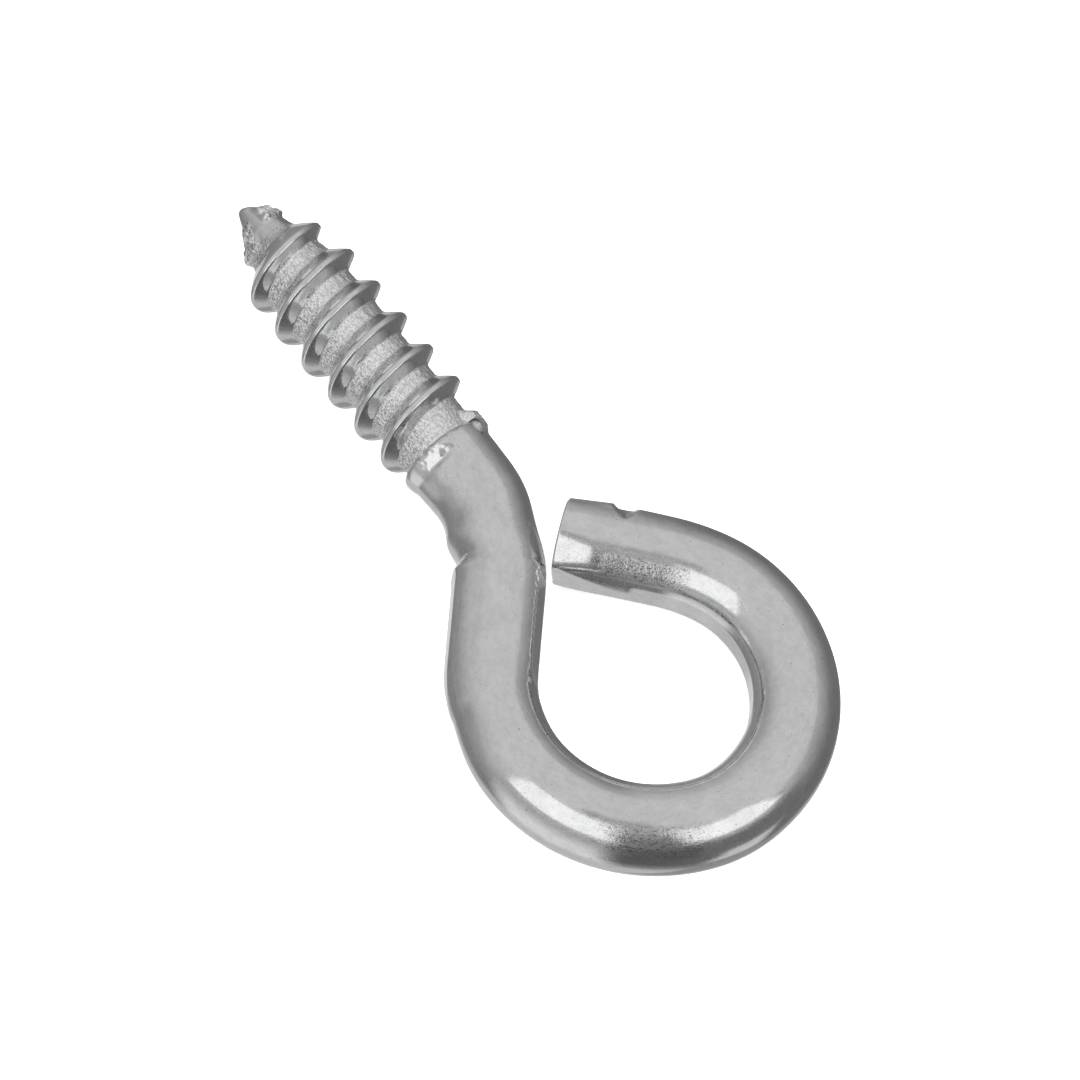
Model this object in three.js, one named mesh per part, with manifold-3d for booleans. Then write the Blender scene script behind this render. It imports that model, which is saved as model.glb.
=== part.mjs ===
// Screw eye: one length of round steel wire, with a threaded point at one end and an eye at the other.
//
// Millimetres, +Z up. The eye lies flat: its plane is parallel to XY and its own axis is +Z. The thread
// points along +X. The leg from the eye to the shank is on the +Y side, and the wire's cut end is on the
// -Y side. The origin is under the middle of the object, on the plane that it lies on.

import * as THREE from 'three';
import { mergeVertices } from 'three/addons/utils/BufferGeometryUtils.js';
import Module from 'manifold-3d';

const wasm = await Module();
wasm.setup();

const { lerp, smoothstep } = THREE.MathUtils;

// Driving dimensions.
const OVERALL_LENGTH = 73;
const WIRE_DIAMETER = 7.8;
const EYE_INSIDE_DIAMETER = 18.2;
const THREADED_LENGTH = 28.2;
const THREAD_CREST_DIAMETER = 9.5;
const THREAD_ROOT_DIAMETER = 6.95;
const THREAD_PITCH = 3.7;

// The bend that joins the eye to the shank, and the straight wire from that bend to the thread's shoulder.
const NECK_BEND_RADIUS = 12.8;
const NECK_TO_SHOULDER = 3.7;

// The wire's cut end: where it leaves the eye's circle, as an angle from the thread's axis, and the straight
// length from there.
const STUB_ANGLE = THREE.MathUtils.degToRad(46);
const STUB_LENGTH = 9;

// The rim round the shoulder, pushed up where the thread was rolled.
const RIM_RADIUS = 4.2;
const RIM_WIDTH = 1.8;
const RIM_EDGE_RADIUS = 0.25;

// The point: a blunt pinched cone, then an ogive up to the thread's root.
const TIP_RADIUS = 0.8;
const PINCH_RADIUS = 1.65;
const PINCH_LENGTH = 2;
const POINT_LENGTH = 10;

// The thread's ridge: half its width at the crest and at the root, and how deep its base is set in the core.
const CREST_HALF_WIDTH = 0.27;
const ROOT_HALF_WIDTH = 1.13;
const RIDGE_SET_IN = 0.5;

// Where the crest first crosses the +Y side, from the shoulder, and how the ridge runs out at each end.
const FIRST_CREST = 2.15;
const SHOULDER_RUN_OUT = 1.3;
const POINT_RUN_OUT = 6.6;
const RIDGE_END_FROM_TIP = 2.7;

// How finely the round shapes are divided.
const WIRE_SIDES = 24;
const WIRE_STEPS = 72;
const SHANK_SIDES = 32;
const POINT_STATIONS = 8;
const RIDGE_STEPS_PER_TURN = 24;

// Joining leaves edges much shorter than this, and they are collapsed.
const SHORTEST_EDGE = 0.002;

// Sizes that follow. Distances along X are from the eye's centre.
const WIRE_RADIUS = WIRE_DIAMETER / 2;
const EYE_RADIUS = EYE_INSIDE_DIAMETER / 2 + WIRE_RADIUS;
const ROOT_RADIUS = THREAD_ROOT_DIAMETER / 2;
const CREST_RADIUS = THREAD_CREST_DIAMETER / 2;
const TIP_X = OVERALL_LENGTH - EYE_RADIUS - WIRE_RADIUS;
const SHOULDER_X = TIP_X - THREADED_LENGTH;
const NECK_X = SHOULDER_X - NECK_TO_SHOULDER;
const EYE_CENTRE_X = TIP_X - OVERALL_LENGTH / 2;

// A circular arc in the XY plane.
class FlatArc extends THREE.Curve {
  constructor(centre, radius, startAngle, endAngle) {
    super();
    Object.assign(this, { centre, radius, startAngle, endAngle });
  }

  getPoint(t, target = new THREE.Vector3()) {
    const angle = lerp(this.startAngle, this.endAngle, t);
    const x = this.centre.x + this.radius * Math.cos(angle);
    const y = this.centre.y + this.radius * Math.sin(angle);
    return target.set(x, y, 0);
  }
}

// The wire's centreline: cut end, eye, straight leg, neck bend and plain shank. The leg is the line that
// touches the eye's circle and the neck's circle and crosses between them.
function wireCentreline() {
  const eyeCentre = new THREE.Vector2(0, 0);
  const neckCentre = new THREE.Vector2(NECK_X, NECK_BEND_RADIUS);
  const crossing = Math.acos((EYE_RADIUS + NECK_BEND_RADIUS) / neckCentre.length());
  const legAngle = neckCentre.angle() + crossing;

  const eye = new FlatArc(eyeCentre, EYE_RADIUS, -STUB_ANGLE, legAngle - 2 * Math.PI);
  const neck = new FlatArc(neckCentre, NECK_BEND_RADIUS, legAngle - Math.PI, -Math.PI / 2);
  const stubDirection = new THREE.Vector3(Math.sin(STUB_ANGLE), Math.cos(STUB_ANGLE), 0);
  const cutEnd = eye.getPoint(0).addScaledVector(stubDirection, STUB_LENGTH);
  const insideRim = new THREE.Vector3(SHOULDER_X - RIM_WIDTH / 4, 0, 0);

  const path = new THREE.CurvePath();
  path.add(new THREE.LineCurve3(cutEnd, eye.getPoint(0)));
  path.add(eye);
  path.add(new THREE.LineCurve3(eye.getPoint(1), neck.getPoint(0)));
  path.add(neck);
  path.add(new THREE.LineCurve3(neck.getPoint(1), insideRim));
  return path;
}

// The bent wire, with a flat end at each end. The shank's end is buried in the rim.
function bentWire() {
  const section = new THREE.Shape().absarc(0, 0, WIRE_RADIUS, 0, 2 * Math.PI);
  const curveSegments = WIRE_SIDES / 2;
  const extrudePath = wireCentreline();
  return new THREE.ExtrudeGeometry(section, { curveSegments, steps: WIRE_STEPS, extrudePath });
}

// Radius of the threaded shank between the ridges.
function coreRadius(x) {
  const fromTip = TIP_X - x;
  if (fromTip < PINCH_LENGTH) return lerp(TIP_RADIUS, PINCH_RADIUS, fromTip / PINCH_LENGTH);
  const alongOgive = Math.min((fromTip - PINCH_LENGTH) / (POINT_LENGTH - PINCH_LENGTH), 1);
  return lerp(PINCH_RADIUS, ROOT_RADIUS, Math.sin(alongOgive * Math.PI / 2));
}

// The shoulder's rim, the threaded shank's core and the point, turned about the X axis.
function shankCore() {
  const rimBack = SHOULDER_X - RIM_WIDTH;
  const rimFront = SHOULDER_X - RIM_EDGE_RADIUS;
  const buriedRadius = WIRE_RADIUS - RIDGE_SET_IN;
  const outline = [
    new THREE.Vector2(0, rimBack),
    new THREE.Vector2(buriedRadius, rimBack),
    new THREE.Vector2(RIM_RADIUS, lerp(rimBack, rimFront, 1 / 2)),
    new THREE.Vector2(RIM_RADIUS, rimFront),
    new THREE.Vector2(RIM_RADIUS - RIM_EDGE_RADIUS, SHOULDER_X),
    new THREE.Vector2(ROOT_RADIUS, SHOULDER_X),
  ];
  for (let i = 0; i <= POINT_STATIONS; i++) {
    const x = TIP_X - lerp(POINT_LENGTH, PINCH_LENGTH, i / POINT_STATIONS);
    outline.push(new THREE.Vector2(coreRadius(x), x));
  }
  outline.push(new THREE.Vector2(TIP_RADIUS, TIP_X), new THREE.Vector2(0, TIP_X));
  return new THREE.LatheGeometry(outline, SHANK_SIDES).rotateZ(-Math.PI / 2);
}

// Radius of the ridge's crest. It rises out of the core beside the shoulder and sinks back near the point.
function crestRadius(x, ridgeStart, ridgeEnd) {
  const buried = coreRadius(x) - RIDGE_SET_IN / 2;
  const risen = smoothstep(x, ridgeStart, ridgeStart + SHOULDER_RUN_OUT);
  const sunk = Math.max(0, 1 - (ridgeEnd - x) / POINT_RUN_OUT) ** 2;
  return lerp(buried, CREST_RADIUS, Math.min(risen, 1 - sunk));
}

// The thread's ridge: a right-hand helix of four-cornered sections, closed by a flat end at each end.
function threadRidge() {
  const ridgeStart = SHOULDER_X + FIRST_CREST - THREAD_PITCH / 2;
  const ridgeEnd = TIP_X - RIDGE_END_FROM_TIP;
  const turns = (ridgeEnd - ridgeStart) / THREAD_PITCH;
  const steps = Math.round(turns * RIDGE_STEPS_PER_TURN);
  const flankSlope = (ROOT_HALF_WIDTH - CREST_HALF_WIDTH) / (CREST_RADIUS - ROOT_RADIUS);
  const corners = 4;
  const positions = [];
  const index = [];

  for (let i = 0; i <= steps; i++) {
    const x = lerp(ridgeStart, ridgeEnd, i / steps);
    const angle = 2 * Math.PI * (x - SHOULDER_X - FIRST_CREST) / THREAD_PITCH;
    const crest = crestRadius(x, ridgeStart, ridgeEnd);
    const baseHalfWidth = CREST_HALF_WIDTH + (crest - coreRadius(x) + RIDGE_SET_IN) * flankSlope;
    const section = [
      [-baseHalfWidth, coreRadius(x - baseHalfWidth) - RIDGE_SET_IN],
      [-CREST_HALF_WIDTH, crest],
      [CREST_HALF_WIDTH, crest],
      [baseHalfWidth, coreRadius(x + baseHalfWidth) - RIDGE_SET_IN],
    ];
    for (const [along, radius] of section) {
      positions.push(x + along, radius * Math.cos(angle), radius * Math.sin(angle));
    }
  }

  for (let i = 0; i < steps; i++) {
    for (let j = 0; j < corners; j++) {
      const a = i * corners + j;
      const b = i * corners + (j + 1) % corners;
      index.push(a, a + corners, b, b, a + corners, b + corners);
    }
  }
  const last = steps * corners;
  index.push(0, 1, 2, 0, 2, 3, last, last + 2, last + 1, last, last + 3, last + 2);

  const geometry = new THREE.BufferGeometry();
  geometry.setAttribute('position', new THREE.Float32BufferAttribute(positions, 3));
  geometry.setIndex(index);
  return geometry;
}

// A closed geometry as a solid that can be joined.
function toSolid(geometry) {
  const bare = geometry.clone();
  bare.deleteAttribute('normal');
  bare.deleteAttribute('uv');
  const merged = mergeVertices(bare);
  const vertProperties = merged.getAttribute('position').array;
  const triVerts = new Uint32Array(merged.getIndex().array);
  return new wasm.Manifold(new wasm.Mesh({ numProp: 3, vertProperties, triVerts }));
}

// A solid's surface as a geometry.
function toGeometry(solid) {
  const { numProp, vertProperties, triVerts } = solid.getMesh();
  const geometry = new THREE.BufferGeometry();
  geometry.setAttribute('position', new THREE.BufferAttribute(vertProperties, numProp));
  geometry.setIndex(new THREE.BufferAttribute(triVerts, 1));
  geometry.computeVertexNormals();
  return geometry;
}

function screwEye() {
  const joined = toSolid(bentWire()).add(toSolid(shankCore())).add(toSolid(threadRidge()));
  const solid = joined.simplify(SHORTEST_EDGE);
  const zincPlate = new THREE.MeshStandardMaterial({ color: 0xb6b7b8, roughness: 0.35, metalness: 1 });
  const mesh = new THREE.Mesh(toGeometry(solid), zincPlate);
  mesh.name = 'screw_eye';
  mesh.position.set(-EYE_CENTRE_X, 0, CREST_RADIUS);
  return mesh;
}

const object = new THREE.Group();
object.add(screwEye());

export default object;
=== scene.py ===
import math

import bpy
import numpy as np
from mathutils import Matrix, Vector, noise


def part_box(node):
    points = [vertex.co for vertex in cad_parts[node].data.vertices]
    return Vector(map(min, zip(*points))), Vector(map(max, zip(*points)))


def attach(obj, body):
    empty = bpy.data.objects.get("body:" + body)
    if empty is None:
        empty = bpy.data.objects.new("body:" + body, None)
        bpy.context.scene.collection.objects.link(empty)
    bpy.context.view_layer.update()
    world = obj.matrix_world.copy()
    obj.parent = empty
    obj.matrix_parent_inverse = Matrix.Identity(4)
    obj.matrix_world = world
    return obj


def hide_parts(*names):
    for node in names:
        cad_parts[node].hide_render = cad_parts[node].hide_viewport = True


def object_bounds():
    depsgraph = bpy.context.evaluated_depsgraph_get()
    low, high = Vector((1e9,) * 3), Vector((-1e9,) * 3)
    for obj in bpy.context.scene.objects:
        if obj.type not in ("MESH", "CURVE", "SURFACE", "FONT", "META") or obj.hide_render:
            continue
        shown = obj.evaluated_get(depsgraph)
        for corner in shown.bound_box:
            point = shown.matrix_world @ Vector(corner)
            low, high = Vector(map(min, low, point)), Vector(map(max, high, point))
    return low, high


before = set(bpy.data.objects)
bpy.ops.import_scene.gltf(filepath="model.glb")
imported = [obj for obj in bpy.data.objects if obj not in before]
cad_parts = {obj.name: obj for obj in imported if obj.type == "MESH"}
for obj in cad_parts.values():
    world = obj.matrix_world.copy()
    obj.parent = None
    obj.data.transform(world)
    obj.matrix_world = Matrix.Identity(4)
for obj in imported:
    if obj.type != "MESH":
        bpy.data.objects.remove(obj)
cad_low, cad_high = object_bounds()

# A zinc-plated screw eye: one bent wire with a rolled wood thread. It is built as one closed mesh from
# "straight wire" coordinates. s is the length along the wire's centreline in millimetres, 0 at the thread's
# shoulder, negative towards the eye and positive towards the point. The turn round the wire is 0 on the
# left of that travel (the outside of the eye, the +Y side of the thread) and 90 degrees on top.

MM = 0.001
TAU = 2 * math.pi
DEGREES = 180 / math.pi

# Sizes of the wire and its bends.
WIRE_RADIUS = 3.9
NECK_RADIUS = 12.8
PLAIN_SHANK = 3.7
STUB_ANGLE = math.radians(46)
STUB_LENGTH = 9.0

# Sizes of the thread and the point.
THREADED_LENGTH = 28.2
PITCH = 3.7
CREST_RADIUS = 4.87
ROOT_RADIUS = 3.5
CREST_HALF_WIDTH = 0.2
NECK_SIDE_FLANK = 0.82
POINT_SIDE_FLANK = 1.2
FIRST_CREST = 2.58
POINT_LENGTH = 10.0
PINCH_LENGTH = 2.0
PINCH_RADIUS = 1.65
TIP_RADIUS = 0.8

# How finely the surface is divided.
COLUMNS = 144
WIRE_STEP = 0.3
SHOULDER_STEP = 0.12
CREST_STATIONS = 9
FLANK_STATIONS = 7
ROOT_STATIONS = 11
POINT_RINGS = 26
CAP_RINGS = 7
CUT_EDGE_RINGS = 6
TURNS = np.arange(COLUMNS) * TAU / COLUMNS
EACH = np.ones(COLUMNS)

# The eye's place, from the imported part.
part_low, part_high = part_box("screw_eye")
EYE_OUTER = (part_high.y - part_low.y) / 2 / MM
EYE_RADIUS = EYE_OUTER - WIRE_RADIUS
EYE_CENTRE = Vector((
    part_low.x + EYE_OUTER * MM,
    (part_low.y + part_high.y) / 2,
    (part_low.z + part_high.z) / 2,
))
SHOULDER_X = (part_high.x - EYE_CENTRE.x) / MM - THREADED_LENGTH
NECK_X = SHOULDER_X - PLAIN_SHANK

# The leg is the line that touches the eye's circle and the neck's circle and crosses between them.
NECK_TO_EYE = math.hypot(NECK_X, NECK_RADIUS)
LEG_ANGLE = math.atan2(NECK_RADIUS, NECK_X) + math.acos((EYE_RADIUS + NECK_RADIUS) / NECK_TO_EYE)
NECK_TURN = math.pi / 2 - LEG_ANGLE
LEG_LENGTH = math.sqrt(NECK_TO_EYE ** 2 - (EYE_RADIUS + NECK_RADIUS) ** 2)
NECK_START = -PLAIN_SHANK - NECK_RADIUS * NECK_TURN
LEG_START = NECK_START - LEG_LENGTH
RING_START = LEG_START - EYE_RADIUS * (TAU - LEG_ANGLE - STUB_ANGLE)
WIRE_END = RING_START - STUB_LENGTH


def smooth(x, start, end):
    """0 before start, 1 after end, and a smooth step between."""
    t = np.clip((x - start) / (end - start), 0, 1)
    return t * t * (3 - 2 * t)


def window(x, start, end, edge):
    """1 between start and end, with a smooth step of width edge at each."""
    return smooth(x, start - edge / 2, start + edge / 2) * (1 - smooth(x, end - edge / 2, end + edge / 2))


def lerp(a, b, t):
    return a + (b - a) * t


def away(turn, degrees):
    """Turn round the wire from a direction given in degrees, from -180 to 180, in degrees."""
    return (np.degrees(turn) - degrees + 180) % 360 - 180


def sector(turn, centre, start, end, edge):
    """1 in a sector round the wire, given in degrees from its centre, with smooth edges."""
    return window(away(turn, centre), start, end, edge)


def bell(distance, width):
    """1 at no distance, and fading out both ways."""
    return np.exp(-(distance / width) ** 2)


def swell(s, centre, width, height):
    """A smooth swelling along the wire."""
    return height * bell(s - centre, width)


# Where the real wire strays towards turn 0: the middle of each stray, its width and its height.
STRAYS = (
    (NECK_START + 4.0, 2.3, 0.43),
    (LEG_START - 4.5, 3.0, -0.15),
    (RING_START + 2.0, 3.5, -0.14),
    (-51.0, 4.0, 0.11),
)

# How far the thread's axis and the point lie off the shank's, and where the wire moves over to them.
THREAD_OFF_CENTRE = 0.2
POINT_OFF_CENTRE = 0.35
TO_THREAD = (0.0, 2.5)
TO_POINT = (THREADED_LENGTH - 5, THREADED_LENGTH - 2)


def sideways(s):
    """How far the real centreline lies to the side of turn 0 from the true arcs and lines."""
    strays = sum(swell(s, *stray) for stray in STRAYS)
    thread = THREAD_OFF_CENTRE * smooth(s, *TO_THREAD)
    point = (POINT_OFF_CENTRE - THREAD_OFF_CENTRE) * smooth(s, *TO_POINT)
    return strays - thread - point


def centreline(s):
    """Centre of the wire and the direction of turn 0, both in the XY plane, from the eye's centre."""
    neck = np.clip((-PLAIN_SHANK - s) / NECK_RADIUS, 0, NECK_TURN)
    straight = np.maximum(s, -PLAIN_SHANK) + PLAIN_SHANK
    leg = np.clip(NECK_START - s, 0, LEG_LENGTH)
    turned = np.clip((LEG_START - s) / EYE_RADIUS, 0, TAU - LEG_ANGLE - STUB_ANGLE)
    stub = np.clip(RING_START - s, 0, None)
    neck_x = NECK_X - NECK_RADIUS * np.sin(neck) + straight - leg * math.cos(NECK_TURN)
    neck_y = NECK_RADIUS * (1 - np.cos(neck)) + leg * math.sin(NECK_TURN)
    eye_angle = LEG_ANGLE + turned
    eye_x = EYE_RADIUS * np.cos(eye_angle) + stub * math.sin(STUB_ANGLE)
    eye_y = EYE_RADIUS * np.sin(eye_angle) + stub * math.cos(STUB_ANGLE)
    on_eye = s < LEG_START
    x, y = np.where(on_eye, eye_x, neck_x), np.where(on_eye, eye_y, neck_y)
    side_x = np.where(on_eye, np.cos(eye_angle), np.sin(neck))
    side_y = np.where(on_eye, np.sin(eye_angle), np.cos(neck))
    off = sideways(s)
    return x + off * side_x, y + off * side_y, side_x, side_y


def grain(s, turn, along, across, seed):
    """Smooth noise from -1 to 1 on the wire, with a scale along and across it, in waves a millimetre."""
    r = WIRE_RADIUS * across
    return np.array([
        noise.noise(Vector((a * along + seed, r * math.cos(b), r * math.sin(b)))) for a, b in zip(s, turn)
    ])


# The tool marks below are given in millimetres and degrees. A stretch along the wire is its start, its end
# and the width of its edges. A fade is where a mark starts and where it's full. A sector round the wire is
# its centre, its start and end from there, and the width of its edges.

# Flats pressed by the bending tools fade out at their sides between these two distances from their middle.
FLAT_SIDES = (24, 60)

# The flat that the mandrel left inside the eye, and the thinning of the wire where it was bent the most.
EYE_FLAT_TURN = 180
EYE_FLAT_DEPTH = 0.15
EYE_FLAT_STRETCH = (RING_START - 2.5, LEG_START - 6, 0.25)
EYE_THINNING = (LEG_START - 4.0, 2.6, 0.09)

# The leg's outer flat: the metal raised at its sides, and how far out the flat lies.
LEG_OUTER_TURN = 0
LEG_OUTER_RAISED = 0.34
LEG_OUTER_REACH = 4.0
LEG_OUTER_STRETCH = (-26, NECK_START - 0.1, 0.8)
LEG_OUTER_FADE = (-27, -19)
LEG_OUTER_LEAST = 0.35

# The leg's inner flat: the metal raised at its sides, and its depth.
LEG_INNER_TURN = 160
LEG_INNER_RAISED = 0.1
LEG_INNER_DEPTH = 0.26
LEG_INNER_STRETCH = (-24.5, NECK_START + 0.5, 0.5)
LEG_INNER_FADE = (-27, -20)
LEG_INNER_LEAST = 0.4

# The sheared flat inside the cut end: its least depth, and how much deeper it is at the very end.
SHEARED_TURN = 190
SHEARED_LEAST = 0.05
SHEARED_MORE = 0.65
SHEARED_TO = RING_START - 2.2
SHEARED_STRETCH = (WIRE_END - 2, RING_START - 2.3, 0.25)


def leaning(turn, centre):
    """Degrees from a flat's middle, no more than its sides reach."""
    return np.clip(np.abs(away(turn, centre)), 0, FLAT_SIDES[1])


def flattened(radius, turn, centre, depth):
    """The radius where a flat of that depth faces the direction centre."""
    flat = (WIRE_RADIUS - depth) / np.cos(np.radians(leaning(turn, centre)))
    return np.where(depth > 0, np.minimum(radius, flat), radius)


def round_flat(turn, centre):
    """1 on a flat, fading out over its sides."""
    return 1 - smooth(np.abs(away(turn, centre)), *FLAT_SIDES)


def pressed(radius, s, turn):
    """The radius with the flats inside the eye, on the leg's two sides and inside the cut end."""
    radius = flattened(radius, turn, EYE_FLAT_TURN, EYE_FLAT_DEPTH * window(s, *EYE_FLAT_STRETCH))
    radius = radius - swell(s, *EYE_THINNING)

    outer = window(s, *LEG_OUTER_STRETCH) * lerp(LEG_OUTER_LEAST, 1, smooth(s, *LEG_OUTER_FADE))
    radius = radius + LEG_OUTER_RAISED * outer * round_flat(turn, LEG_OUTER_TURN)
    outer_flat = LEG_OUTER_REACH / np.cos(np.radians(leaning(turn, LEG_OUTER_TURN)))
    radius = np.minimum(radius, outer_flat)

    inner = window(s, *LEG_INNER_STRETCH) * lerp(LEG_INNER_LEAST, 1, smooth(s, *LEG_INNER_FADE))
    radius = radius + LEG_INNER_RAISED * inner * round_flat(turn, LEG_INNER_TURN)
    radius = flattened(radius, turn, LEG_INNER_TURN, inner * LEG_INNER_DEPTH)

    to_ring = np.clip(1 - (s - WIRE_END) / (SHEARED_TO - WIRE_END), 0, 1)
    sheared = (SHEARED_LEAST + SHEARED_MORE * to_ring ** 2) * window(s, *SHEARED_STRETCH)
    return flattened(radius, turn, SHEARED_TURN, sheared)


# The squeezed side of the cut end: its length, how soon it reaches its slope, the slope, and its width.
SQUEEZE_LENGTH = 2.9
SQUEEZE_SOFTNESS = 1.6
SQUEEZE_SLOPE = 0.15
SQUEEZE_TURN = 130
SQUEEZE_WIDTH = 21


def squeezed(s, turn):
    """How much the cut end is squeezed in on the upper inside."""
    along = np.clip(WIRE_END + SQUEEZE_LENGTH - s, 0, None)
    depth = SQUEEZE_SLOPE * along ** 2 / (along + SQUEEZE_SOFTNESS)
    return depth * bell(away(turn, SQUEEZE_TURN), SQUEEZE_WIDTH)


# The torn burr along the upper edge of the leg's inner flat, and the spacing of its beads.
BURR_TURN = 139
BURR_WIDTH = 4.5
BURR_HEIGHT = 0.09
BURR_STRETCH = (-23, NECK_START + 0.3, 0.5)
BURR_FADE = (-18, -13.6)
BURR_LEAST = 0.35
BURR_BEAD = 0.85
BEAD_HEIGHT = 0.8
BEAD_WANDER = 0.6
BURR_BODY = 0.75
BURR_TORN = 0.5


def leg_burr(s, turn):
    height = BURR_HEIGHT * window(s, *BURR_STRETCH) * lerp(BURR_LEAST, 1, smooth(s, *BURR_FADE))
    torn = BURR_BODY + BURR_TORN * grain(s, turn, along=1.4, across=0.5, seed=7.0)
    wander = BEAD_WANDER * grain(s, turn, along=0.6, across=0.1, seed=61.0)
    beads = BEAD_HEIGHT * np.sin(TAU * (s / BURR_BEAD + wander))
    return height * (torn + beads) * bell(away(turn, BURR_TURN), BURR_WIDTH)


# The thumbnail-shaped recess of the bending tool inside the neck. It drops from a step with a raised lip, is
# deepest RECESS_OFFSET further on, and runs out over RECESS_RUN_OUT. Its upper border is softer.
NECK_STEP = NECK_START + 0.3
RECESS_OFFSET = 1.15
RECESS_DROP = 1.25
RECESS_RUN_OUT = 3.0
RECESS_TURN = 6
RECESS_WIDTH = 48
RECESS_DEPTH = 0.46
RECESS_SHARP = 1.1
RECESS_SOFTER = 0.8
RECESS_SOFT_FADE = (8, 40)
LIP_HEIGHT = 0.06
LIP_STRETCH = (NECK_STEP - 0.9, NECK_STEP, 0.4)
LIP_SIDES = (36, 60)


def neck_recess(s, turn):
    """The recess, negative, and the lip of its step, positive."""
    along = s - NECK_STEP - RECESS_OFFSET
    length = np.where(along < 0, RECESS_DROP, RECESS_RUN_OUT)
    dish = (along / length) ** 2 + (away(turn, RECESS_TURN) / RECESS_WIDTH) ** 2
    softness = RECESS_SHARP + RECESS_SOFTER * smooth(away(turn, 0), *RECESS_SOFT_FADE)
    recess = RECESS_DEPTH * np.clip(1 - dish, 0, 1) ** softness
    lip = LIP_HEIGHT * window(s, *LIP_STRETCH) * (1 - smooth(np.abs(away(turn, 0)), *LIP_SIDES))
    return lip - recess


# The pressed ledge on the outside of the cut end, which rises away from the end, and the notch behind it.
LEDGE_END = RING_START - 5.0
LEDGE_STRETCH = (WIRE_END - 2, LEDGE_END, 0.3)
LEDGE_SECTOR = (0, 0, 52, 10)
LEDGE_LOW = -0.15
LEDGE_HIGH = 0.1
NOTCH_MIDDLE = LEDGE_END + 1.0
NOTCH_HALF_LENGTH = 1.3
NOTCH_DEPTH = 0.3
NOTCH_FROM = -10
NOTCH_TO = 66
NOTCH_EDGE = 16


def ledge_and_notch(s, turn):
    ledge = lerp(LEDGE_LOW, LEDGE_HIGH, (s - WIRE_END) / (LEDGE_END - WIRE_END))
    ledge = ledge * window(s, *LEDGE_STRETCH) * sector(turn, *LEDGE_SECTOR)
    hollow = np.clip(1 - ((s - NOTCH_MIDDLE) / NOTCH_HALF_LENGTH) ** 2, 0, 1)
    notch = NOTCH_DEPTH * np.sqrt(hollow) * window(away(turn, 0), NOTCH_FROM, NOTCH_TO * hollow, NOTCH_EDGE)
    return ledge - notch


# The rim pushed up beside the thread: all round, and higher on the +Y side. It has a flat rolled on its
# upper side and a torn burr on its upper inside, and its edge is rounded.
RIM_LEAST = 0.04
RIM_MORE = 0.22
RIM_SECTOR = (20, -75, 68, 30)
RIM_FADE = (-1.8, -0.5)
RIM_SWELL = (-1.2, 1.9, 0.08)
RIM_EDGE = 0.28
ROLLED_TURN = 56
ROLLED_WIDTH = 34
ROLLED_FADE = (-2.2, -1.5)
ROLLED_DEPTH = 0.2
ROLLED_RAGGED = 0.13
RIM_BURR_SECTOR = (148, -17, 22, 9)
RIM_BURR_FADE = (-1.4, -0.6)
RIM_BURR_HEIGHT = 0.34
RIM_BURR_TORN = 0.22


def shoulder_rim(s, turn):
    rim = (RIM_LEAST + RIM_MORE * sector(turn, *RIM_SECTOR)) * smooth(s, *RIM_FADE) + swell(s, *RIM_SWELL)
    rolled = np.clip(1 - (away(turn, ROLLED_TURN) / ROLLED_WIDTH) ** 2, 0, 1) * smooth(s, *ROLLED_FADE)
    rolled = rolled * (ROLLED_DEPTH + ROLLED_RAGGED * grain(s, turn, along=1.6, across=1.9, seed=51.0))
    burr = sector(turn, *RIM_BURR_SECTOR) * smooth(s, *RIM_BURR_FADE)
    burr = burr * (RIM_BURR_HEIGHT + RIM_BURR_TORN * grain(s, turn, along=1.6, across=1.6, seed=11.0))
    return rim - rolled + burr - RIM_EDGE * smooth(s, -RIM_EDGE, 0)


# The cut end: its edge's rounding, how far it leans sideways and under, over what length the sections
# straighten, how far its face bulges, and how torn its face is.
CUT_EDGE = 0.2
CUT_TILT = math.radians(5)
CUT_UNDERCUT = math.radians(6.5)
CUT_LEAN_LENGTH = 3
CUT_BULGE = 0.08
CUT_TORN = 0.05
CUT_GRAIN = 3
CUT_ROUGH = 0.4


def cut_rounding(s):
    """How much the edge of the cut end is rounded off."""
    to_edge = 1 - np.clip((s - WIRE_END) / CUT_EDGE, 0, 1)
    return CUT_EDGE * (1 - np.sqrt(np.clip(1 - to_edge ** 2, 0, 1)))


def cut_skew(s, turn):
    """How far the wire's sections lean near the cut end, which isn't cut quite square."""
    lean = math.tan(CUT_TILT) * np.cos(turn) - math.tan(CUT_UNDERCUT) * np.sin(turn)
    return WIRE_RADIUS * lean * (1 - smooth(s, WIRE_END, WIRE_END + CUT_LEAN_LENGTH))


# How uneven the drawn wire is.
UNEVENNESS = 0.02


def wire_radius(s, turn):
    """Radius of the bent wire with its tool marks."""
    radius = WIRE_RADIUS + UNEVENNESS * grain(s, turn, along=0.22, across=0.2, seed=3.0)
    radius = pressed(radius, s, turn) - squeezed(s, turn)
    radius += leg_burr(s, turn) + neck_recess(s, turn) + ledge_and_notch(s, turn)
    return radius - cut_rounding(s) + shoulder_rim(s, turn)


# How rough the wire is. From 0 to 0.5 it's scuffed, and at 1 it's torn. Beside the thread the roughness
# rises and ends, and it's torn in one sector. The wire is scuffed inside the stub and on the eye's front,
# in the bands where the dark gap between the softboxes is mirrored. Those bands also get dark specks in
# the material, partly scuffing and partly a painted dark reflection of that gap.
BURR_ROUGH = 0.3
BURR_ROUGH_WIDTH = 4
RIM_ROUGH = 0.5
RIM_ROUGH_FADE = (-0.7, -0.2)
RIM_TORN_FADE = (-1.9, -1.0)
RIM_TORN_SECTOR = (148, -24, 30, 12)
RIM_ROUGH_END = (-0.6, 0)
STUB_SCUFFED = 0.4
STUB_STRETCH = (WIRE_END + 3.6, RING_START + 2.8, 1.6)
STUB_SECTOR = (136, -14, 16, 10)
FRONT_SCUFFED = 0.25
FRONT_STRETCH = (-48.5, -39.5, 4)
FRONT_SECTOR = (50, -26, 20, 16)


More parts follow.
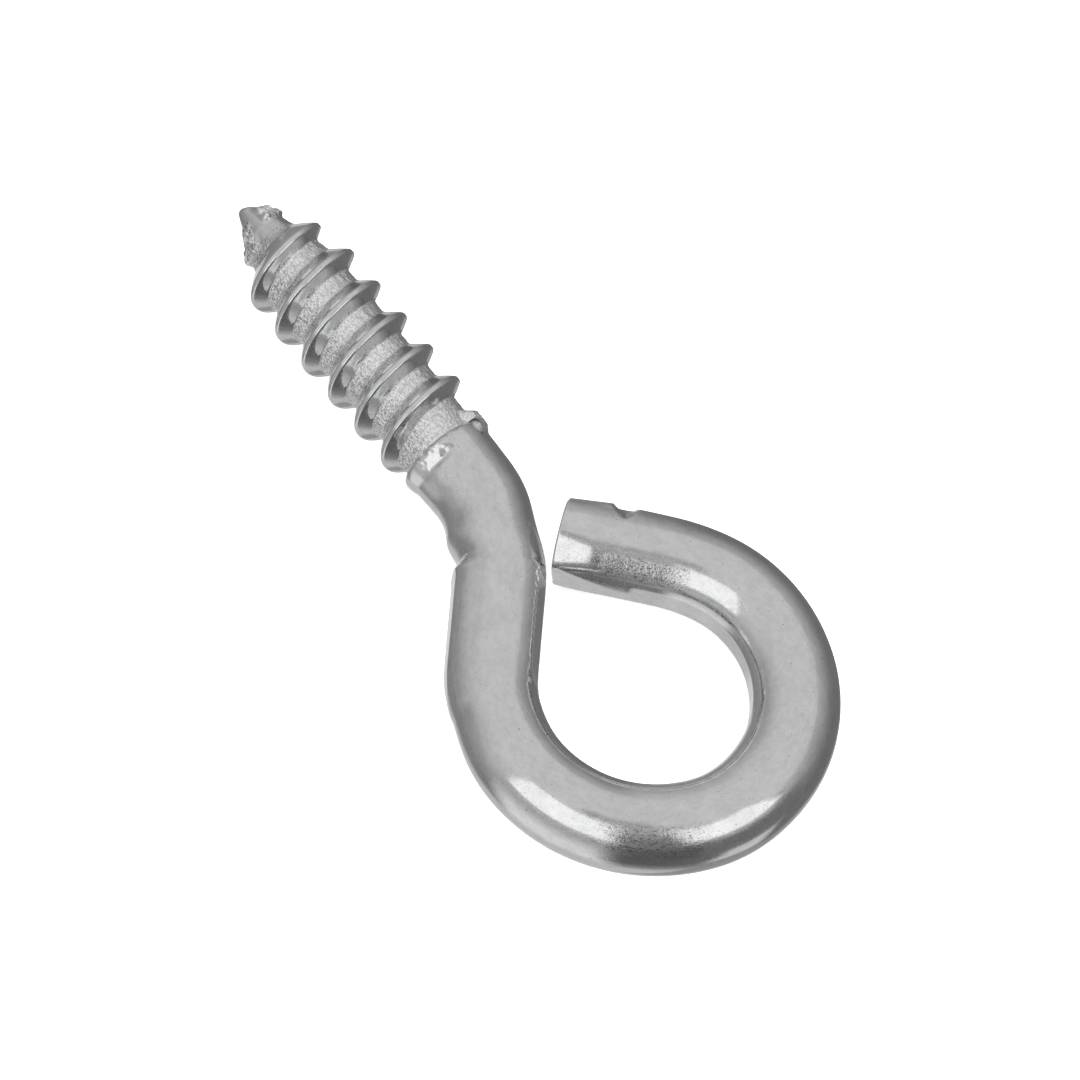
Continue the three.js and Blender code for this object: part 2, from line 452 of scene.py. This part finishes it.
def wire_roughness(s, turn):
    burr = BURR_ROUGH * window(s, *BURR_STRETCH) * bell(away(turn, BURR_TURN), BURR_ROUGH_WIDTH)
    torn = smooth(s, *RIM_TORN_FADE) * sector(turn, *RIM_TORN_SECTOR)
    rim = np.clip(RIM_ROUGH * smooth(s, *RIM_ROUGH_FADE) + torn, 0, 1) * (1 - smooth(s, *RIM_ROUGH_END))
    stub = STUB_SCUFFED * window(s, *STUB_STRETCH) * sector(turn, *STUB_SECTOR)
    front = FRONT_SCUFFED * window(s, *FRONT_STRETCH) * sector(turn, *FRONT_SECTOR)
    return np.clip(burr + rim + stub + front, 0, 1)


# The point's torn side and the turned-up lip on its other side, as stretches from the tip. Between them and
# the thread's torn root the point is smooth.
TEAR_STRETCH = (1.7, 4.3, 0.8)
TEAR_SECTOR = (8, -48, 34, 14)
TEAR_HEIGHT = 0.12
TEAR_RAGGED = 0.32
LIP_TIP_STRETCH = (0.7, 2.6, 0.7)
LIP_TIP_SECTOR = (135, -50, 45, 24)
LIP_TIP_HEIGHT = 0.42
LIP_TIP_RAGGED = 0.25
SMOOTH_POINT_FADE = (3.4, 5.2)

# The torn burr where the thread runs in, beside the shoulder.
RUN_IN_SECTOR = (150, -20, 24, 12)
RUN_IN_FADE = (0.4, 1.7)
RUN_IN_HEIGHT = 0.95
RUN_IN_TORN = 0.25


def point_tears(x, turn):
    """Where the point's side is torn, and where its lip is turned up."""
    from_tip = THREADED_LENGTH - x
    torn = window(from_tip, *TEAR_STRETCH) * sector(turn, *TEAR_SECTOR)
    lip = window(from_tip, *LIP_TIP_STRETCH) * sector(turn, *LIP_TIP_SECTOR)
    return torn, lip


def point_wear(x, turn):
    """1 on the torn root and the point's tears, and 0 on the smooth rest of the point."""
    torn, lip = point_tears(x, turn)
    return np.clip(smooth(THREADED_LENGTH - x, *SMOOTH_POINT_FADE) + torn + lip, 0, 1)


def core_radius(x, turn):
    """Radius of the threaded shank between the ridges."""
    from_tip = THREADED_LENGTH - x
    ogive = np.clip((from_tip - PINCH_LENGTH) / (POINT_LENGTH - PINCH_LENGTH), 0, 1)
    body = lerp(PINCH_RADIUS, ROOT_RADIUS, np.sin(ogive * math.pi / 2))
    pinch = lerp(TIP_RADIUS, PINCH_RADIUS, np.clip(from_tip / PINCH_LENGTH, 0, 1))
    radius = np.where(from_tip < PINCH_LENGTH, pinch, body)
    torn, lip = point_tears(x, turn)
    torn = torn * (TEAR_HEIGHT + TEAR_RAGGED * grain(x, turn, along=1.5, across=1.7, seed=21.0))
    lip = lip * (LIP_TIP_HEIGHT + LIP_TIP_RAGGED * grain(x, turn, along=1.5, across=1.8, seed=27.0))
    burr = sector(turn, *RUN_IN_SECTOR) * (1 - smooth(x, *RUN_IN_FADE))
    burr = burr * (RUN_IN_HEIGHT + RUN_IN_TORN * grain(x, turn, along=1.6, across=1.6, seed=11.0))
    return radius + torn + burr + lip


# The thread's ridge: how it runs out at each end, how far its buried ends lie under the core, and how much
# its crest is rounded. The crest has a fine seam, and the point-side part of a flank is a little hollow.
SHOULDER_RUN_OUT = 1.3
POINT_RUN_OUT = 6.6
RIDGE_END = THREADED_LENGTH - 2.7
RIDGE_BURIED = 0.25
CREST_ROUNDING = 0.05
SEAM_DEPTH = 0.025
SEAM_WIDTH = 0.06
FLANK_HOLLOW = 0.18

# The root of the thread: how near the core it begins, its fillet, and its two scales of chatter marks.
ROOT_FADE = (0.0, 0.22)
FILLET_HEIGHT = 0.08
FILLET_REACH = 0.15
COARSE_CHATTER = 0.07
FINE_CHATTER = 0.05


def thread_radius(x, turn):
    """Radius of the threaded shank, its ridge included, and how much of it is the rough root."""
    core = core_radius(x, turn)
    phase = (x - FIRST_CREST) / PITCH - turn / TAU
    off_crest = (phase - np.round(phase)) * PITCH
    crest_x = x - off_crest
    ridge_start = FIRST_CREST - PITCH / 2
    sunk = np.clip(1 - (RIDGE_END - crest_x) / POINT_RUN_OUT, 0, 1) ** 2
    risen = np.minimum(smooth(crest_x, ridge_start, ridge_start + SHOULDER_RUN_OUT), 1 - sunk)
    crest = lerp(core - RIDGE_BURIED, CREST_RADIUS, risen)

    top = crest - CREST_ROUNDING * (off_crest / CREST_HALF_WIDTH) ** 2
    top = top - SEAM_DEPTH * bell(off_crest, SEAM_WIDTH)
    distance = np.abs(off_crest)
    flank_width = np.where(off_crest < 0, NECK_SIDE_FLANK, POINT_SIDE_FLANK)
    down = (distance - CREST_HALF_WIDTH) / flank_width
    fall = down * (1 - FLANK_HOLLOW + FLANK_HOLLOW * down)
    flank = crest - CREST_ROUNDING - (CREST_RADIUS - ROOT_RADIUS) * fall
    ridge = np.where(distance < CREST_HALF_WIDTH, top, flank)

    rough = (1 - smooth(ridge - core, *ROOT_FADE)) * point_wear(x, turn)
    fillet = FILLET_HEIGHT * np.exp(-np.abs(ridge - core) / FILLET_REACH)
    coarse = COARSE_CHATTER * grain(x, turn, along=0.7, across=2.2, seed=31.0)
    fine = FINE_CHATTER * grain(x, turn, along=2.4, across=2.4, seed=37.0)
    return np.maximum(core, ridge) + fillet + (coarse + fine) * rough, rough


def ridge_offsets():
    """Distances from a crest, over one pitch, of the stations that follow the thread."""
    crest = np.linspace(-CREST_HALF_WIDTH, CREST_HALF_WIDTH, CREST_STATIONS)
    point_side = np.linspace(CREST_HALF_WIDTH, CREST_HALF_WIDTH + POINT_SIDE_FLANK, FLANK_STATIONS + 1)[1:]
    neck_side = np.linspace(CREST_HALF_WIDTH, CREST_HALF_WIDTH + NECK_SIDE_FLANK, FLANK_STATIONS + 1)[1:]
    root = np.linspace(point_side[-1], PITCH - neck_side[-1], ROOT_STATIONS + 2)[1:-1]
    return np.concatenate([crest, point_side, root, PITCH - neck_side[::-1]])


def joined(first, second, first_x, second_x):
    """Triangles between two neighbouring columns of vertices, each in order of x."""
    faces = []
    i = j = 0
    while i < len(first) - 1 or j < len(second) - 1:
        if j == len(second) - 1:
            on_first = True
        elif i == len(first) - 1:
            on_first = False
        else:
            on_first = abs(first_x[i + 1] - second_x[j]) < abs(second_x[j + 1] - first_x[i])
        if on_first:
            faces.append((first[i], second[j], first[i + 1]))
            i += 1
        else:
            faces.append((first[i], second[j], second[j + 1]))
            j += 1
    return faces


class Surface:
    """Vertices in straight-wire coordinates, and the faces between them."""

    def __init__(self):
        self.s, self.turn, self.radius, self.rough = [], [], [], []
        self.faces = []

    def add(self, s, turn, radius, rough):
        first = len(self.s)
        self.s.extend(s)
        self.turn.extend(turn)
        self.radius.extend(radius)
        self.rough.extend(rough)
        return list(range(first, len(self.s)))

    def ring(self, s, radius, rough=0.0):
        return self.add(s * EACH, TURNS, radius * EACH, rough * EACH)

    def bridge(self, back, front):
        """Quads between two rings, the front one nearer the point."""
        for j in range(COLUMNS):
            k = (j + 1) % COLUMNS
            self.faces.append((back[j], back[k], front[k], front[j]))

    def close(self, ring, centre, at_front):
        """Triangles between a ring and the centre of an end."""
        for j in range(COLUMNS):
            k = (j + 1) % COLUMNS
            face = (ring[j], ring[k], centre) if at_front else (ring[k], ring[j], centre)
            self.faces.append(face)


# The stretch of the wire that has twice the stations, along the burr, from the neck's start.
BURRED_FROM = -7
BURRED_TO = 1

# Where the wire's even stations end and the shoulder's closer ones start.
WIRE_TO = -2.1
SHOULDER_FROM = -2

# The shoulder's face is two narrow steps down to the thread. The thread's stations stay clear of its start
# and of the plain rings of the point.
FACE_X = 0.02
FACE_ROUGH = 0.5
THREAD_START = 0.04
FIRST_STATION = 0.1
STATION_GAP = 0.06
POINT_START = THREADED_LENGTH - PINCH_LENGTH - 1.2

# The point's end is oblique, and its edge is rounded over the last of its rings.
TIP_SLANT = 0.35
TIP_EDGE = 0.14
TIP_EDGE_FROM = 0.93
TIP_ROUGH = 0.5


def add_cut_face(surface):
    """The cut end's face, a little convex and torn, from its centre outwards."""
    rings = []
    end_radius = wire_radius(WIRE_END * EACH, TURNS)
    for i in range(1, CAP_RINGS + 1):
        share = i / (CAP_RINGS + 1)
        torn = CUT_TORN * grain(share * CUT_GRAIN * EACH, TURNS, along=1.0, across=0.5 * share, seed=41.0)
        bulge = CUT_BULGE * (1 - share ** 2) + torn
        s = WIRE_END - bulge + share * cut_skew(WIRE_END, TURNS)
        rings.append(surface.ring(s, end_radius * share, CUT_ROUGH))
    centre = surface.add([WIRE_END - CUT_BULGE], [0], [0], [CUT_ROUGH])[0]
    surface.close(rings[0], centre, at_front=False)
    return rings


def add_wire(surface):
    """The cut end, the wire and the shoulder's rim and face. Returns the last ring."""
    rings = add_cut_face(surface)
    cut_edge = WIRE_END + CUT_EDGE * (1 - np.cos(np.linspace(0, math.pi / 2, CUT_EDGE_RINGS)))
    wire = np.arange(cut_edge[-1] + CUT_EDGE / 2, WIRE_TO, WIRE_STEP)
    burred = wire[(wire > NECK_START + BURRED_FROM) & (wire < NECK_START + BURRED_TO)] + WIRE_STEP / 2
    shoulder = np.append(np.arange(SHOULDER_FROM, 0, SHOULDER_STEP), 0.0)
    for s in np.concatenate([cut_edge, np.sort(np.concatenate([wire, burred])), shoulder]):
        here = s * EACH
        radius, rough = wire_radius(here, TURNS), wire_roughness(here, TURNS)
        rings.append(surface.ring(s + cut_skew(s, TURNS), radius, rough))
    last_radius = np.array(surface.radius)[rings[-1]]
    rings.append(surface.ring(FACE_X, lerp(last_radius, ROOT_RADIUS, 1 / 2), FACE_ROUGH))
    rings.append(surface.ring(THREAD_START, thread_radius(THREAD_START * EACH, TURNS)[0], 1.0))
    for back, front in zip(rings, rings[1:]):
        surface.bridge(back, front)
    return rings[-1]


def add_thread(surface):
    """The thread, on stations that follow its helix. Returns its columns and where their vertices are."""
    pitches = np.arange(-2, math.ceil(THREADED_LENGTH / PITCH) + 1) * PITCH
    grid = np.sort((pitches[:, None] + ridge_offsets()[None, :]).ravel())
    columns, places = [], []
    for turn in TURNS:
        x = grid + FIRST_CREST + PITCH * turn / TAU
        x = x[(x > FIRST_STATION) & (x < POINT_START - STATION_GAP)]
        here = np.full_like(x, turn)
        columns.append(surface.add(x, here, *thread_radius(x, here)))
        places.append(x)
    return columns, places


def add_point(surface):
    """The point, on plain rings, with an oblique end. Returns its first ring."""
    rings = []
    for i in range(POINT_RINGS + 1):
        t = i / POINT_RINGS
        x = lerp(POINT_START, THREADED_LENGTH, t)
        radius, rough = thread_radius(x * EACH, TURNS)
        short = TIP_SLANT * (1 - np.cos(TURNS)) * t ** 2
        edge = TIP_EDGE * smooth(t, TIP_EDGE_FROM, 1.0)
        rings.append(surface.ring(x - short, radius - edge, rough))
    for back, front in zip(rings, rings[1:]):
        surface.bridge(back, front)
    end_x = np.array(surface.s)[rings[-1]]
    inner = surface.add(end_x, TURNS, np.array(surface.radius)[rings[-1]] / 2, TIP_ROUGH * EACH)
    surface.bridge(rings[-1], inner)
    centre = surface.add([float(np.mean(end_x))], [0], [0], [TIP_ROUGH])[0]
    surface.close(inner, centre, at_front=True)
    return rings[0]


def build_surface():
    surface = Surface()
    wire_ring = add_wire(surface)
    columns, places = add_thread(surface)
    point_ring = add_point(surface)
    for j in range(COLUMNS):
        k = (j + 1) % COLUMNS
        first, second = ([wire_ring[i], *columns[i], point_ring[i]] for i in (j, k))
        first_x, second_x = ([THREAD_START, *places[i], POINT_START] for i in (j, k))
        surface.faces.extend(joined(first, second, first_x, second_x))
    return surface


# Edges sharper than this stay crisp.
CRISP_EDGE = math.radians(50)


def screw_eye_mesh():
    """The mesh, with its straight-wire coordinates and roughness as attributes for the material."""
    surface = build_surface()
    s, turn = np.array(surface.s), np.array(surface.turn)
    radius, rough = np.array(surface.radius), np.array(surface.rough)
    x, y, side_x, side_y = centreline(s)
    out, up = radius * np.cos(turn), radius * np.sin(turn)
    points = np.stack([x + out * side_x, y + out * side_y, up], 1) * MM + np.array(EYE_CENTRE)
    mesh = bpy.data.meshes.new("screw_eye_fine")
    mesh.from_pydata(points.tolist(), [], surface.faces)
    straight = mesh.attributes.new("straight", "FLOAT_VECTOR", "POINT")
    straight.data.foreach_set("vector", np.stack([s, out, up], 1).astype(np.float32).ravel())
    worn = mesh.attributes.new("rough", "FLOAT", "POINT")
    worn.data.foreach_set("value", rough.astype(np.float32))
    mesh.validate()
    mesh.update()
    mesh.shade_smooth()
    mesh.set_sharp_from_angle(angle=CRISP_EDGE)
    return mesh


class Nodes:
    """A short way to add and join shader nodes."""

    def __init__(self, tree):
        self.tree = tree
        tree.nodes.clear()

    def add(self, kind, inputs=(), **settings):
        node = self.tree.nodes.new(kind)
        for name, value in settings.items():
            setattr(node, name, value)
        for name, value in dict(inputs).items():
            if isinstance(value, bpy.types.NodeSocket):
                self.tree.links.new(value, node.inputs[name])
            else:
                node.inputs[name].default_value = value
        return node

    def math(self, operation, *values):
        return self.add("ShaderNodeMath", enumerate(values), operation=operation).outputs[0]

    def times(self, first, second):
        return self.math("MULTIPLY", first, second)

    def dot(self, vector, fixed):
        node = self.add("ShaderNodeVectorMath", {0: vector, 1: fixed}, operation="DOT_PRODUCT")
        return node.outputs["Value"]

    def step(self, value, start, end, low=0.0, high=1.0):
        """low before start, high after end, and a smooth step between."""
        inputs = {"Value": value, "From Min": start, "From Max": end, "To Min": low, "To Max": high}
        return self.add("ShaderNodeMapRange", inputs, interpolation_type="SMOOTHSTEP").outputs["Result"]

    def mix(self, share, a, b):
        return self.add("ShaderNodeMix", {0: share, 2: a, 3: b}, data_type="FLOAT").outputs[0]

    def blend(self, share, first, second):
        """A colour between two."""
        return self.add("ShaderNodeMix", {0: share, 6: first, 7: second}, data_type="RGBA").outputs[2]

    def noise(self, vector, scale, detail=2.0, roughness=0.5, stretch=(1, 1, 1)):
        mapped = self.add("ShaderNodeMapping", {"Vector": vector, "Scale": stretch})
        inputs = {"Vector": mapped.outputs[0], "Scale": scale, "Detail": detail, "Roughness": roughness}
        return self.add("ShaderNodeTexNoise", inputs).outputs[0]


# Colours of the zinc: its mottling, its pits, the specks of scuffed wire, which are partly a painted dark
# reflection of the gap between the softboxes, and torn metal with its specks.
MOTTLE_DARK = (0.63, 0.633, 0.636, 1)
MOTTLE_LIGHT = (0.76, 0.762, 0.765, 1)
PIT_COLOUR = (0.3, 0.3, 0.302, 1)
SCUFF_AND_PAINTED_GAP_SPECK = (0.12, 0.12, 0.122, 1)
TORN_METAL = (0.98, 0.98, 0.982, 1)
TORN_SPECK = (0.5, 0.5, 0.502, 1)

# How much of each colour there is, as levels of the noise between which it comes in, and its most.
MOTTLE_STAIN = 0.6
MOTTLE_LEVELS = (0.3, 0.68)
PIT_LEVELS = (0.26, 0.31)
PIT_MOST = 0.75
SCUFF_AND_PAINTED_GAP_SPECK_LEVELS = (0.56, 0.64)
SCUFF_AND_PAINTED_GAP_SPECK_MOST = 0.8
TORN_SPECK_LEVELS = (0.42, 0.6)

# The mesh's roughness at which the wire is scuffed, is no longer scuffed but torn, and is deeply torn.
SCUFF_START = (0.05, 0.35)
SCUFF_END = (0.5, 0.7)
TORN_START = (0.5, 1.0)
DEEP_START = (0.4, 0.95)

# The torn metal is smoother on top of the wire: where it changes, in degrees, and how much is left of it.
CALM_TURNS = (35, 80)
CALM_LEAST = 0.5

# The roughness of the shine.
SATIN_SPECK = 0.4
SATIN_LEVELS = (0.3, 0.7)
SATIN_SMOOTH = 0.05
SATIN_ROUGH = 0.1

# Depth of a bump height of 1, in metres, and the heights of the drawing lines, the grains, the torn metal
# and the scuffs.
BUMP_DEPTH = 0.00003
LINE_HEIGHT = 0.14
GRIT_HEIGHT = 0.1
GRIT_LEVELS = (0.57, 0.68)
TORN_HEIGHT = 6.5
SCUFF_HEIGHT = 0.75

# The burr of the leg's inner flat is torn into short steps: their spacing and slope, and the half-width of
# their strip, in degrees, which widens near the neck. The strip fades in along the leg and has gaps.
STEP_SPACING = 0.4
STEP_SLOPE = 0.5
STRIP_NARROW = 1.8
STRIP_WIDE = 4.0
STRIP_WIDENS = (NECK_START - 1.8, NECK_START - 0.8)
STRIP_FADE = (NECK_START - 10, NECK_START - 4)
STRIP_END = NECK_START + 0.2
STRIP_GAP_LEVELS = (0.36, 0.42)


def burr_steps(n, s, turned, gaps):
    """Height of the steps in the leg's burr, in millimetres."""
    off_middle = n.math("SUBTRACT", turned, BURR_TURN)
    half_width = n.step(s, *STRIP_WIDENS, STRIP_NARROW, STRIP_WIDE)
    inside = n.math("LESS_THAN", n.math("ABSOLUTE", off_middle), half_width)
    strip = n.times(inside, n.math("LESS_THAN", s, STRIP_END))
    strip = n.times(strip, n.times(n.step(s, *STRIP_FADE), n.step(gaps, *STRIP_GAP_LEVELS)))
    along = n.times(n.math("FRACT", n.math("DIVIDE", s, STEP_SPACING)), STEP_SPACING * STEP_SLOPE)
    across = n.times(off_middle, math.radians(WIRE_RADIUS) * STEP_SLOPE)
    return n.times(n.math("ADD", along, across), strip)


def zinc_material():
    """Bright zinc plate over drawn steel: mottled satin with pits, drawing lines, scuffs and torn metal. The
    scuffs' dark specks are partly a painted dark reflection of the gap between the softboxes.
    """
    material = bpy.data.materials.new("zinc_plated_wire")
    material.use_nodes = True
    n = Nodes(material.node_tree)
    place = n.add("ShaderNodeAttribute", attribute_name="straight").outputs["Vector"]
    worn = n.add("ShaderNodeAttribute", attribute_name="rough").outputs["Fac"]
    part = n.add("ShaderNodeSeparateXYZ", {0: place}).outputs
    turned = n.times(n.math("ARCTAN2", part["Z"], part["Y"]), DEGREES)
    scuffed = n.times(n.step(worn, *SCUFF_START), n.step(worn, *SCUFF_END, 1.0, 0.0))
    calm = n.step(turned, *CALM_TURNS, 1.0, CALM_LEAST)

    cloud = n.noise(place, scale=0.5, detail=4.0, roughness=0.6)
    stain = n.noise(place, scale=2.2, detail=5.0, roughness=0.7, stretch=(0.6, 1, 1))
    drawn = n.noise(place, scale=3.2, detail=3.0, roughness=0.6, stretch=(0.06, 1, 1))
    speck = n.noise(place, scale=6.5, roughness=0.6)
    torn = n.noise(place, scale=5.0, detail=3.0, roughness=0.7, stretch=(0.7, 1, 1))
    crumbs = n.noise(place, scale=6.0, roughness=0.6, stretch=(0.6, 1, 1))
    pits = n.noise(place, scale=4.5)
    gaps = n.noise(place, scale=1.8)

    mottle = n.step(n.mix(MOTTLE_STAIN, cloud, stain), *MOTTLE_LEVELS)
    plate = n.blend(mottle, MOTTLE_DARK, MOTTLE_LIGHT)
    plate = n.blend(n.step(pits, *PIT_LEVELS, PIT_MOST, 0.0), plate, PIT_COLOUR)
    # Dark specks on the scuffed bands: partly scuffing, partly a painted dark reflection of the gap between
    # the softboxes.
    scuff_and_painted_gap_specks = n.times(n.step(crumbs, *SCUFF_AND_PAINTED_GAP_SPECK_LEVELS, 0.0, SCUFF_AND_PAINTED_GAP_SPECK_MOST), scuffed)
    plate = n.blend(scuff_and_painted_gap_specks, plate, SCUFF_AND_PAINTED_GAP_SPECK)
    torn_specks = n.times(n.step(crumbs, *TORN_SPECK_LEVELS), calm)
    colour = n.blend(n.step(worn, *TORN_START), plate, n.blend(torn_specks, TORN_METAL, TORN_SPECK))

    satin = n.step(n.mix(SATIN_SPECK, stain, speck), *SATIN_LEVELS, SATIN_SMOOTH, SATIN_ROUGH)
    roughness = n.mix(worn, satin, SATIN_ROUGH)

    grit = n.step(speck, *GRIT_LEVELS, 0.0, GRIT_HEIGHT)
    depth = n.times(n.step(worn, *DEEP_START, 0.0, TORN_HEIGHT), calm)
    deep = n.times(torn, n.math("ADD", depth, n.times(scuffed, SCUFF_HEIGHT)))
    height = n.math("ADD", n.math("ADD", n.times(drawn, LINE_HEIGHT), grit), deep)
    height = n.math("ADD", height, n.times(burr_steps(n, part["X"], turned, gaps), MM / BUMP_DEPTH))
    bump = n.add("ShaderNodeBump", {"Height": height, "Strength": 1.0, "Distance": BUMP_DEPTH})

    shader = n.add("ShaderNodeBsdfPrincipled", {
        "Base Color": colour,
        "Metallic": 1.0,
        "Roughness": roughness,
        "Normal": bump.outputs[0],
    })
    n.add("ShaderNodeOutputMaterial", {"Surface": shader.outputs[0]})
    return material


# The floor is pale and glows a little, so that the shadow on it is faint.
FLOOR_COLOUR = (0.9, 0.9, 0.9, 1)
FLOOR_ROUGHNESS = 0.9
FLOOR_GLOW = 0.5
FLOOR_HALF_WIDTH = 4.0
FILL_ENERGY = 4.0
FILL_ANGLE = math.radians(150)


def floor_material():
    material = bpy.data.materials.new("pale_floor")
    material.use_nodes = True
    n = Nodes(material.node_tree)
    shader = n.add("ShaderNodeBsdfPrincipled", {
        "Base Color": FLOOR_COLOUR,
        "Roughness": FLOOR_ROUGHNESS,
        "Emission Color": (1, 1, 1, 1),
        "Emission Strength": FLOOR_GLOW,
    })
    n.add("ShaderNodeOutputMaterial", {"Surface": shader.outputs[0]})
    return material


def add_floor():
    """The floor, which the metal doesn't mirror, and a light that only the floor takes."""
    fill = bpy.data.lights.new("floor_fill", "SUN")
    fill.energy = FILL_ENERGY
    fill.angle = FILL_ANGLE
    lamp = bpy.data.objects.new("floor_fill", fill)
    lamp.visible_glossy = False
    bpy.context.scene.collection.objects.link(lamp)

    half = FLOOR_HALF_WIDTH
    corners = [(-half, -half, 0), (half, -half, 0), (half, half, 0), (-half, half, 0)]
    mesh = bpy.data.meshes.new("floor")
    mesh.from_pydata(corners, [], [(0, 1, 2, 3)])
    floor = bpy.data.objects.new("floor", mesh)
    floor.location.z = cad_low.z
    floor.visible_glossy = False
    floor.data.materials.append(floor_material())
    bpy.context.scene.collection.objects.link(floor)


# The room that the metal mirrors, in degrees. A level that changes with the elevation is given as two
# elevations and the levels there. The walls grow lighter upwards, and the lowest part is even.
WALLS = (-40, 52, 0.28, 0.7)
LOWEST_PART = (-62, -47)
LOWEST_LEVEL = 0.62

# Parts of the room with a level of their own, laid over each other in this order: azimuth, half-width,
# lowest and highest elevation, width of the edges, and level. Azimuth 0 is where the thread points, 90 is
# the leg's side, 180 is the eye's side and 270 is the cut end's side.
ROOM_PARTS = (
    # Low down, dim behind the eye and beside the cut end.
    (215, 38, -84, -50, 5, 0.34),
    (296, 18, -72, -44, 5, 0.25),
    # The wall on the cut end's side, dark at the bottom.
    (262, 48, -50, 34, 4, (-20, 58, 0.19, 0.62)),
    # A light part low on the thread's side.
    (339, 23, -80, -38, 6, 0.74),
    # A dim part of the ceiling over the gap between the softboxes.
    (142, 34, 65, 78, 7, 0.44),
    # The light wall under the softbox on the leg's side.
    (104, 30, -58, 4, 10, (-32, 4, 0.86, 0.5)),
    # The dark wall under the softbox on the eye's side.
    (200, 24, -22, 16, 8, 0.19),
    # The gap between the softboxes, lighter upwards, and the dark wall under it.
    (151, 19, 22, 66, 6, (18, 60, 0.12, 0.44)),
    (155, 23, -42, 20, 10, 0.13),
    # A light strip low on the eye's side, and a dark one beside it.
    (196, 15, -46, -25, 5, 0.72),
    (174, 10, -38, -22, 5, 0.17),
    # The wall where the thread points, a little darker.
    (17, 28, -12, 42, 12, (-12, 46, 0.33, 0.66)),
    # The two softboxes, on the leg's side and on the eye's side.
    (105, 28, 17, 60, 3, 1.22),
    (193, 25, 24, 57, 3, 1.22),
)


def room_part(n, direction, elevation, light, azimuth, half_width, low, high, edge, level):
    """The room's light, changed to a level in one part of the room."""
    angle = math.radians(azimuth)
    along = n.dot(direction, (math.cos(angle), math.sin(angle), 0))
    beside = n.dot(direction, (-math.sin(angle), math.cos(angle), 0))
    turned = n.times(n.math("ABSOLUTE", n.math("ARCTAN2", beside, along)), DEGREES)
    inside = n.step(turned, half_width - edge, half_width + edge, 1.0, 0.0)
    above = n.step(elevation, low - edge, low + edge)
    below = n.step(elevation, high - edge, high + edge, 1.0, 0.0)
    if isinstance(level, tuple):
        level = n.step(elevation, *level)
    return n.mix(n.times(inside, n.times(above, below)), light, level)


def studio():
    """A pale floor, and a soft studio all round: two big softboxes, a dim gap between them, and walls that
    are pale or dark in parts. The metal mirrors all that, and the camera sees plain white walls."""
    world = bpy.data.worlds.new("studio")
    bpy.context.scene.world = world
    world.use_nodes = True
    n = Nodes(world.node_tree)
    direction = n.add("ShaderNodeTexCoord").outputs["Generated"]
    height = n.add("ShaderNodeSeparateXYZ", {0: direction}).outputs["Z"]
    elevation = n.times(n.math("ARCSINE", height), DEGREES)

    light = n.mix(n.step(elevation, *LOWEST_PART, 1.0, 0.0), n.step(elevation, *WALLS), LOWEST_LEVEL)
    for part in ROOM_PARTS:
        light = room_part(n, direction, elevation, light, *part)
    seen = n.add("ShaderNodeLightPath").outputs["Is Camera Ray"]
    strength = n.mix(seen, light, 1.0)
    background = n.add("ShaderNodeBackground", {"Color": (1, 1, 1, 1), "Strength": strength})
    n.add("ShaderNodeOutputWorld", {"Surface": background.outputs[0]})

    add_floor()
    bpy.context.scene.view_settings.view_transform = "Standard"


# The camera looks down on the eye from its outside, on the leg's side, with a long lens. The frame's width
# and the aim from the eye's centre are in millimetres.
CAMERA_AZIMUTH = math.radians(126.91)
CAMERA_ELEVATION = math.radians(61)
CAMERA_ROLL = math.radians(17)
FRAME_WIDTH = 91.6
AIM_RIGHT = -8.77
AIM_UP = 13.0
LENS = 700


def add_camera():
    level = Vector((math.cos(CAMERA_AZIMUTH), math.sin(CAMERA_AZIMUTH), 0))
    across = Vector((-level.y, level.x, 0))
    back = level * math.cos(CAMERA_ELEVATION) + Vector((0, 0, math.sin(CAMERA_ELEVATION)))
    down = level * math.sin(CAMERA_ELEVATION) - Vector((0, 0, math.cos(CAMERA_ELEVATION)))
    right = across * math.cos(CAMERA_ROLL) - down * math.sin(CAMERA_ROLL)
    up = -(across * math.sin(CAMERA_ROLL) + down * math.cos(CAMERA_ROLL))
    data = bpy.data.cameras.new("camera")
    data.lens = LENS
    distance = FRAME_WIDTH * MM * LENS / data.sensor_width
    camera = bpy.data.objects.new("camera", data)
    target = EYE_CENTRE + (right * AIM_RIGHT + up * AIM_UP) * MM
    turned = Matrix((right, up, back)).transposed()
    camera.matrix_world = Matrix.Translation(target + back * distance) @ turned.to_4x4()
    bpy.context.scene.collection.objects.link(camera)
    bpy.context.scene.camera = camera


piece = bpy.data.objects.new("screw_eye_fine", screw_eye_mesh())
piece.data.materials.append(zinc_material())
bpy.context.scene.collection.objects.link(piece)
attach(piece, "root")
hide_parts("screw_eye")

studio()
add_camera()
